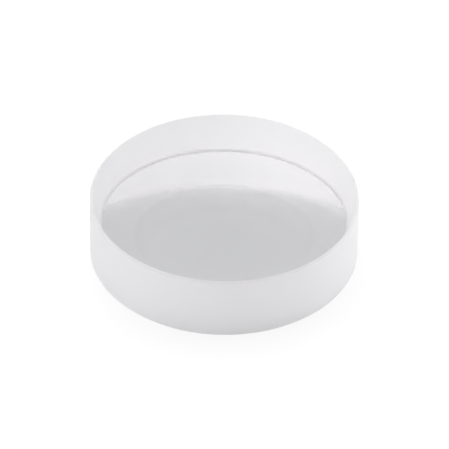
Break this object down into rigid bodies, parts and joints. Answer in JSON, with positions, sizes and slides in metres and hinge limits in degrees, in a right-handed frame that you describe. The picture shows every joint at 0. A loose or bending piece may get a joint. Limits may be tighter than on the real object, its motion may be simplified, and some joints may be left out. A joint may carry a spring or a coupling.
{
  "type": "biconcave lens",
  "caption": "Round biconcave lens: a thick clear glass disc, hollowed by a spherical face on each side, with a frosted ground edge and fine bevelled rims.",
  "frame": {"origin": "on the optical axis, midway between the two face vertices, which is the centre of the glass", "axes": "+Z along the optical axis towards the front face, which looks up when the lens lies on its back rim; X and Y are any two directions across it"},
  "size_m": [0.0254, 0.0254, 0.0066],
  "materials": {
    "optical_glass": "polished hollow faces, fine-ground frosted edge and bevels"
  },
  "bodies": {
    "root": {"lens": "optical_glass"}
  },
  "joints": []
}
